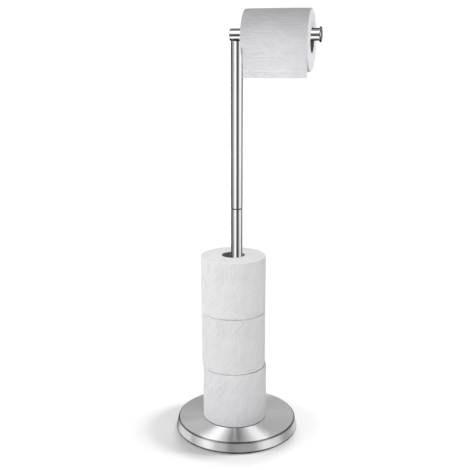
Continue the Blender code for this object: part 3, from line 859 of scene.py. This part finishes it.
def mix_tissue(name, centre, turn, side_radius, repeats, light, dark, wrinkles=1.0, low_end=None):
    material, tree, shader = new_material(name)
    wound = add_node(tree, "ShaderNodeGroup", node_tree=tissue)
    for label, value in (("Vector", centred_coordinates(tree, centre, turn)), ("Side Radius", side_radius),
                         ("Repeats", repeats), ("Wrinkles", wrinkles)):
        feed(tree, wound.inputs[label], value)
    colour = blend_colours(tree, scale_to(tree, wound.outputs["Shade And Tone"], 0, 1, spread=0.13), dark, light)
    # The bottom roll's lower rim is darkened: a painted contact shadow where it stands on the plate.
    if low_end is not None:
        wound.inputs["Low End"].default_value = low_end + contact_lift
        colour = darken(tree, colour, wound.outputs["Off Rim"], *contact_shadow_band, contact_shade)
    tree.links.new(colour, shader.inputs["Base Color"])
    tree.links.new(bump_normal(tree, wound.outputs["Height"], 0.7, 0.0007), shader.inputs["Normal"])
    shader.inputs["Roughness"].default_value = 0.95
    shader.inputs["Specular IOR Level"].default_value = 0.15
    shader.inputs["Sheen Weight"].default_value = 0.15
    shader.inputs["Sheen Roughness"].default_value = 0.6
    return material


print("tissue finish ready, with a contact line", contact_shadow_band[1], "wide")

# %% [markdown]
# The cores are grey-brown card, rolled from a strip that winds up the tube like a screw, so each core shows
# one slanting joint. The card is rough and full of fibres. A core is a tube with a thin wall, made as the
# steel tubes are, and it lies deep in the roll, so its colours can be shaded down.

# %% Mix the card and roll a core
card_wall = 0.001
card_pitch = 0.07
card_break = 0.0003
card_steps = 96
lay_flat = (0, -math.pi / 2, 0)

core_low, core_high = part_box("spare_bottom_core")
core_radius = (core_high - core_low).x / 2


def mix_card(name, centre, turn, shade):
    material, tree, shader = new_material(name)
    place = centred_coordinates(tree, centre, turn)
    x, y, z = split_xyz(tree, place)
    winding = math_node(tree, "ADD", math_node(tree, "ARCTAN2", y, x),
                        math_node(tree, "MULTIPLY", z, 2 * math.pi / card_pitch))
    joint = map_range(tree, math_node(tree, "COSINE", winding), 0.9975, 0.9995, curve="SMOOTHSTEP")
    fibre = add_noise(tree, place, scale=260.0, detail=5.0, roughness=0.7)
    dark, light, gap = (tuple(part * shade for part in tone)
                        for tone in ((0.21, 0.20, 0.17), (0.32, 0.30, 0.26), (0.10, 0.09, 0.075)))
    card = blend_colours(tree, scale_to(tree, fibre, 0, 1), dark, light)
    tree.links.new(blend_colours(tree, joint, card, gap), shader.inputs["Base Color"])
    relief = math_node(tree, "SUBTRACT", fibre, joint)
    tree.links.new(bump_normal(tree, relief, 0.4, 0.0002), shader.inputs["Normal"])
    shader.inputs["Roughness"].default_value = 0.9
    shader.inputs["Specular IOR Level"].default_value = 0.2
    return material


def make_core(name, body, node, card_name, length, middle, shade, lying=False):
    put_down()
    bpy.ops.mesh.primitive_cylinder_add(vertices=card_steps, radius=core_radius, depth=length,
                                        end_fill_type="NOTHING", location=middle,
                                        rotation=(0, math.pi / 2 if lying else 0, 0))
    core = bpy.context.object
    apply_modifier(core, "SOLIDIFY", thickness=card_wall, offset=-1, use_even_offset=True)
    apply_modifier(core, "BEVEL", width=card_break, segments=2, limit_method="ANGLE",
                   angle_limit=math.radians(60))
    card = mix_card(card_name, middle, lay_flat if lying else (0, 0, 0), shade)
    put_away(core, name, body, card, node, soft=True)


print("core radius", round(core_radius, 4))

# %% [markdown]
# A roll is a thick ring with soft outer rims. It starts as a cylinder: each end is inset to the size of the
# core, the two inner faces are bridged to open the bore, and the rims are bevelled. The side is then cut
# into short bands, so that the Displace modifier can press it out of round by a fraction of a millimetre.
# The ends and the bore stay true, because they touch their neighbours.

# %% A helper that winds a roll
def wind_roll(radius, bore_radius, bottom, height, rounding, steps=160):
    put_down()
    bpy.ops.mesh.primitive_cylinder_add(vertices=steps, radius=radius, depth=height,
                                        location=(0, 0, bottom + height / 2))
    roll = bpy.context.object
    bpy.ops.object.transform_apply(location=True, rotation=True, scale=True)
    choose(roll, "FACE", lambda middle: math.hypot(middle.x, middle.y) < radius / 2)
    bpy.ops.mesh.inset(thickness=radius - bore_radius, depth=0)
    bpy.ops.mesh.bridge_edge_loops()
    bpy.ops.object.mode_set(mode="OBJECT")
    for end in (bottom, bottom + height):
        choose(roll, "EDGE", lambda point: (math.hypot(point.x, point.y) > radius - 0.0005
                                            and abs(point.z - end) < 0.0001))
        bpy.ops.mesh.bevel(offset=rounding, segments=8, affect="EDGES")
        bpy.ops.object.mode_set(mode="OBJECT")
    pick_up(roll)
    return roll


def cut_bands(roll, radius, bottom, height, bands):
    mesh = roll.data
    pick_up(roll)
    bpy.ops.object.mode_set(mode="EDIT")
    bpy.ops.mesh.select_mode(type="EDGE")
    bpy.ops.mesh.select_all(action="DESELECT")
    bpy.ops.object.mode_set(mode="OBJECT")
    for edge in mesh.edges:
        first, second = (mesh.vertices[index].co for index in edge.vertices)
        upright = abs(first.z - second.z) > height / 2
        edge.select = upright and math.hypot(first.x, first.y) > radius - 0.001
    bpy.ops.object.mode_set(mode="EDIT")
    bpy.ops.mesh.subdivide(number_cuts=bands)
    bpy.ops.object.mode_set(mode="OBJECT")


spare_low, spare_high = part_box("spare_bottom_paper")
spare_radius = (spare_high - spare_low).x / 2
spare_height = (spare_high - spare_low).z
paper_bore = core_radius + 0.0002
spare_rim_rounding = 0.0015
side_bands = 30

pattern_roll = wind_roll(spare_radius, paper_bore, 0, spare_height, spare_rim_rounding)
cut_bands(pattern_roll, spare_radius, 0, spare_height, side_bands)
print("pattern roll has", len(pattern_roll.data.polygons), "faces")

# %% [markdown]
# No two stored rolls are alike: each was pressed a little out of round, and its last sheet ends somewhere
# else. One roll is wound and then copied, each copy with its own mesh, its own dents and its own tail. A
# Displace modifier makes the dents, and the tail is a spiral that ends in one upright step.

# %% Copy the roll to its three places on the post
dents = bpy.data.textures.new("dents", "CLOUDS")
dents.noise_scale = 0.045
dents.noise_depth = 1


def press_out_of_round(roll, centre, radius, strength):
    """Presses the side of a standing roll by noise, and leaves its ends and its bore alone."""
    group = roll.vertex_groups.new(name="side")
    for point in roll.data.vertices:
        away = math.hypot(point.co.x - centre[0], point.co.y - centre[1])
        share = max(0.0, min(1.0, (away - radius + 0.003) / 0.002))
        group.add([point.index], share, "REPLACE")
    apply_modifier(roll, "DISPLACE", texture=dents, texture_coords="LOCAL", strength=strength, mid_level=0.62,
                   vertex_group="side")
    roll.vertex_groups.clear()


def end_the_paper(roll, centre, radius, bearing, thickness=0.0005, steps=160):
    """Turns the side into a spiral that ends in one upright step, which is the edge of the last sheet."""
    width = 2 * math.pi / steps
    for point in roll.data.vertices:
        away = Vector((point.co.x - centre[0], point.co.y - centre[1]))
        if away.length < radius - 0.004:
            continue
        turn = (math.atan2(away.y, away.x) - bearing) % (2 * math.pi)
        share = min(1.0, (away.length - radius + 0.004) / 0.003)
        layer = thickness * (1 - turn / (2 * math.pi)) * share
        if turn > 2 * math.pi - 1.5 * width:
            turn = 2 * math.pi - 0.06 * width
        length = away.length - layer
        point.co.x = centre[0] + length * math.cos(bearing + turn)
        point.co.y = centre[1] + length * math.sin(bearing + turn)


spare_repeats = 34
spare_dents = 0.0011

# Each roll's level, the bearing of its tail, its two tones, and how strongly it is wrinkled
for level, tail_bearing, light, dark, wrinkled in (
        ("bottom", 95, (0.75, 0.748, 0.768), (0.66, 0.658, 0.68), 2.0),
        ("middle", -13, (0.74, 0.74, 0.744), (0.66, 0.66, 0.667), 0.7),
        ("top", 60, (0.765, 0.765, 0.762), (0.685, 0.685, 0.682), 0.7)):
    low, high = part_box(f"spare_{level}_paper")
    centre = (low + high) / 2
    pick_up(pattern_roll)
    bpy.ops.object.duplicate(linked=False)
    stored = bpy.context.object
    bpy.ops.transform.translate(value=(centre.x, centre.y, low.z))
    bpy.ops.object.transform_apply(location=True, rotation=True, scale=True)
    press_out_of_round(stored, centre, spare_radius, spare_dents)
    end_the_paper(stored, centre, spare_radius, math.radians(tail_bearing))
    spare_tissue = mix_tissue(f"tissue_{level}", centre, (0, 0, 0), spare_radius, spare_repeats, light, dark,
                              wrinkled, -spare_height / 2 if level == "bottom" else None)
    put_away(stored, f"stored_{level}_roll", f"spare_{level}", spare_tissue, f"spare_{level}_paper",
             smooth_angle=60, soft=True)

    core_low, core_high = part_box(f"spare_{level}_core")
    make_core(f"stored_{level}_card", f"spare_{level}", f"spare_{level}_core", f"card_{level}",
              core_high.z - core_low.z, (core_low + core_high) / 2, shade=0.85)

bpy.data.objects.remove(pattern_roll)

# %% [markdown]
# The roll in use is smaller, because some of it is gone. It is wound the same way, laid on its side, and
# hung on the arm by the top of its core.
#
# The loose sheet keeps the light off the roll behind it, which leaves a thin grey wedge beside the sheet. The
# lamps alone don't make it dark enough, so the roll's tissue is darkened on its lower front. This shade is
# fixed to the roll, so it is only right while the roll rests: when the roll turns, it turns out from under
# the sheet and shows as a grey band. The sheet itself gets the same tissue without the shade.

# %% Hang the roll in use
hung_rim_rounding = 0.0030
hung_dents = 0.0006
hung_repeats = 30
hung_light, hung_dark = (0.71, 0.705, 0.728), (0.64, 0.635, 0.66)
shade_below, shade_in_front = 0.016, 0.010
shade_end_inset, shade_end_sharpness = 0.0012, 9
shade_fade = 0.010
shade_share = 0.50

hung_low, hung_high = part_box("hanging_roll_paper")
hung_radius = (hung_high - hung_low).z / 2
hung_width = (hung_high - hung_low).x
hung_middle = (hung_low + hung_high) / 2
hung_roll = wind_roll(hung_radius, paper_bore, -hung_width / 2, hung_width, hung_rim_rounding)
cut_bands(hung_roll, hung_radius, -hung_width / 2, hung_width, side_bands)
press_out_of_round(hung_roll, (0, 0), hung_radius, hung_dents)
pick_up(hung_roll)
bpy.ops.transform.rotate(value=math.pi / 2, orient_axis="Y", center_override=(0, 0, 0))
bpy.ops.transform.translate(value=hung_middle)
sheet_tissue, hung_tissue = (
    mix_tissue(name, hung_middle, lay_flat, hung_radius, hung_repeats, hung_light, hung_dark)
    for name in ("tissue_sheet", "tissue_hanging"))
tree = hung_tissue.node_tree
shader = tree.nodes["Principled BSDF"]
down, back, along = split_xyz(tree, centred_coordinates(tree, hung_middle, lay_flat))
from_end = math_node(tree, "SUBTRACT", math_node(tree, "ABSOLUTE", along), hung_width / 2 - shade_end_inset)
past_end = math_node(tree, "MULTIPLY", from_end, shade_end_sharpness)
off_fold = math_node(tree, "MAXIMUM", math_node(tree, "SUBTRACT", shade_below, down),
                     math_node(tree, "ADD", back, shade_in_front))
under_sheet = darken(tree, shader.inputs["Base Color"].links[0].from_socket,
                     math_node(tree, "MAXIMUM", off_fold, past_end), 0, shade_fade, shade_share)
tree.links.new(under_sheet, shader.inputs["Base Color"])
put_away(hung_roll, "hung_roll", "hanging_roll", hung_tissue, "hanging_roll_paper",
         smooth_angle=60, soft=True)
make_core("hung_card", "hanging_roll", "hanging_roll_core", "card_hanging", hung_width, hung_middle,
          shade=0.6, lying=True)

# %% [markdown]
# The loose end of the paper laps the front of the roll and hangs straight down. It is one thin sheet, so a
# flat grid is bent over the roll and down, point by point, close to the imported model's curve, with shallow
# waves that grow towards the free edge and one corner that curls back. It was pulled off at a slant, so
# below the lap it is shifted to the right, its left edge most, and its right edge curls back towards the
# roll. Solidify gives it its thickness.

# %% Hang the loose sheet
sheet_drop = 0.056
lap_angle = math.radians(75)
lap_radius = hung_radius + 0.00065
sheet_paper = 0.00025
lap_length = lap_angle * lap_radius
sheet_long = lap_length + sheet_drop

wave_height, wave_start, wave_count = 0.0014, 0.6, 1.6
corner_lift, corner_rise = 0.0015, 0.0012
shift_right_edge, shift_left_extra = 0.0007, 0.0039
crease_height, crease_above_edge, crease_width = 0.0005, 0.009, 0.0012
forward_lean = 0.0012
edge_curl = 0.0012


def soft_step(value):
    value = max(0.0, min(1.0, value))
    return value * value * (3 - 2 * value)


def sheet_place(side, length):
    """Where a point of the flat sheet goes: side runs from 0 to 1 across it, length from the lap down."""
    across = (side - 0.5) * hung_width
    if length < lap_length:
        angle = lap_angle - length / lap_radius
        return Vector((across, -lap_radius * math.cos(angle), lap_radius * math.sin(angle)))
    drop = length - lap_length
    fall = drop / sheet_drop
    wave = wave_height * math.sin(wave_start + 2 * math.pi * wave_count * side) * fall ** 2
    corner = soft_step((side - 0.86) / 0.14) * soft_step((fall - 0.80) / 0.20)
    inset = soft_step(fall * 3.2) * (shift_right_edge + shift_left_extra * (1 - side))
    crease = crease_height * math.exp(-((drop - sheet_drop + crease_above_edge) / crease_width) ** 2)
    curl = edge_curl * soft_step((side - 0.93) / 0.07) * soft_step(fall * 3)
    forward = -lap_radius - forward_lean * fall + wave + corner_lift * corner + crease + curl
    return Vector((across + inset, forward, -drop + corner_rise * corner))


put_down()
bpy.ops.mesh.primitive_grid_add(x_subdivisions=60, y_subdivisions=80, size=1, calc_uvs=True)
loose_sheet = bpy.context.object
for point in loose_sheet.data.vertices:
    side_share = point.co.x + 0.5
    point.co = sheet_place(side_share, (0.5 - point.co.y) * sheet_long) + hung_middle
pick_up(loose_sheet)
bpy.ops.object.mode_set(mode="EDIT")
bpy.ops.mesh.select_all(action="SELECT")
bpy.ops.mesh.normals_make_consistent(inside=False)
bpy.ops.object.mode_set(mode="OBJECT")
apply_modifier(loose_sheet, "SOLIDIFY", thickness=sheet_paper, offset=0, use_even_offset=True)
put_away(loose_sheet, "loose_sheet", "loose_sheet", sheet_tissue, "hanging_sheet", smooth_angle=60, soft=True)

# %% [markdown]
# The pieces inside the base and the post stay as the imported model has them. They come into view only from
# below, or when the post's upper half is unscrewed, and they get plain workshop finishes: zinc on the
# fasteners, cast iron on the weight and black rubber under the base. The threads and the pad's rings are only
# drawn in the finish: a sine wave darkens the roots with painted shade and bumps up the crests.

# %% Finish the pieces inside
thread_pitch = 0.0015
pad_ring_pitch = 0.004


def mix_plain(name, dark, light, rough, metallic, noise_scale, depth):
    material, tree, shader = new_material(name)
    noise = add_noise(tree, centred_coordinates(tree), scale=noise_scale, detail=4.0)
    tree.links.new(blend_colours(tree, scale_to(tree, noise, 0, 1), dark, light), shader.inputs["Base Color"])
    tree.links.new(scale_to(tree, noise, *rough), shader.inputs["Roughness"])
    tree.links.new(bump_normal(tree, noise, 0.3, depth), shader.inputs["Normal"])
    shader.inputs["Metallic"].default_value = metallic
    return material


def add_ridges(material, place_to_phase, dark, depth):
    """Cuts fine ridges into a plain finish. Their roots are darkened with painted shade and their crests
    stand up.
    """
    tree = material.node_tree
    shader = tree.nodes["Principled BSDF"]
    phase = place_to_phase(tree, *split_xyz(tree, centred_coordinates(tree)))
    wave = math_node(tree, "MULTIPLY", math_node(tree, "ADD", math_node(tree, "SINE", phase), 1), 0.5)
    plain, normal = (shader.inputs[name].links[0].from_socket for name in ("Base Color", "Normal"))
    # The darker roots are painted shade in the ridges' recesses.
    tree.links.new(darken(tree, plain, wave, 0.0, 0.7, dark), shader.inputs["Base Color"])
    tree.links.new(bump_normal(tree, wave, 1.0, depth, normal), shader.inputs["Normal"])


def screw_phase(tree, x, y, z):
    return math_node(tree, "ADD", math_node(tree, "ARCTAN2", y, x),
                     math_node(tree, "MULTIPLY", z, 2 * math.pi / thread_pitch))


def ring_phase(tree, x, y, z):
    return math_node(tree, "MULTIPLY", length_node(tree, x, y), 2 * math.pi / pad_ring_pitch)


zinc, threaded = (mix_plain(name, (0.50, 0.52, 0.55), (0.62, 0.63, 0.65), (0.3, 0.45), 1, 400.0, 0.0001)
                  for name in ("zinc", "threaded_zinc"))
iron = mix_plain("cast_iron", (0.05, 0.05, 0.05), (0.09, 0.088, 0.085), (0.6, 0.8), 0.6, 700.0, 0.0004)
rubber = mix_plain("rubber", (0.015, 0.015, 0.016), (0.03, 0.03, 0.031), (0.75, 0.95), 0, 900.0, 0.0003)
add_ridges(threaded, screw_phase, 0.25, 0.0005)
add_ridges(rubber, ring_phase, 0.5, 0.0008)
finishes = {"base_pad": rubber, "base_weight": iron, "joint_stud": threaded, "base_bolt": threaded,
            "arm_stud": threaded}
inside = ["base_pad", "base_weight", "base_bolt", "base_washer", "base_lock_washer",
          "lower_tube_bottom_insert", "lower_tube_top_insert", "joint_stud", "upper_tube_bottom_insert",
          "arm_stud"]
for node in inside:
    material = finishes.get(node, zinc)
    mesh = nodes[node].data
    if mesh.materials:
        for number in range(len(mesh.materials)):
            mesh.materials[number] = material
    else:
        mesh.materials.append(material)
print("finished", len(inside), "pieces inside")

# %% [markdown]
# Both boxes, the imported holder's and the dressed one's, are measured and printed side by side. The
# dressed holder may not outgrow the imported one.

# %% Note the size of the finished model
visual_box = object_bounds()
for name, box in (("CAD box", cad_box), ("visual box", visual_box)):
    print(name, [[round(value, 4) for value in corner] for corner in box])
